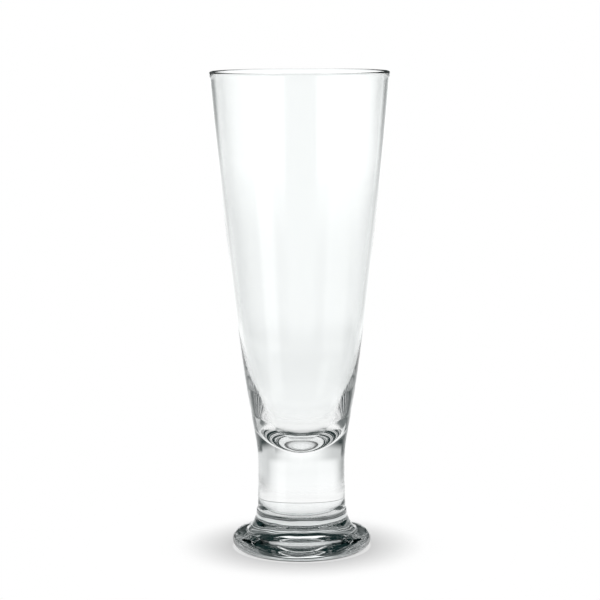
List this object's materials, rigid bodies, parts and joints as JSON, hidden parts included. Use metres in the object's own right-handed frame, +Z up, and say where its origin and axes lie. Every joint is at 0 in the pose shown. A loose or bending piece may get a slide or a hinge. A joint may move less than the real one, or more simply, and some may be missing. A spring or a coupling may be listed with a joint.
{
  "type": "pilsner glass",
  "caption": "Tall footed pilsner glass: a gently curved conical bowl with a fire-polished lip, on a short solid stem and a round domed foot.",
  "frame": {"origin": "middle of the face that the foot rests on", "axes": "+Z up along the glass's axis, from the foot to the lip; the glass is round, so X and Y are free"},
  "size_m": [0.0818, 0.0818, 0.22],
  "materials": {
    "clear_glass": "clear, fire polished"
  },
  "bodies": {
    "root": {"bowl": "clear_glass", "stem": "clear_glass", "foot": "clear_glass"}
  },
  "joints": []
}
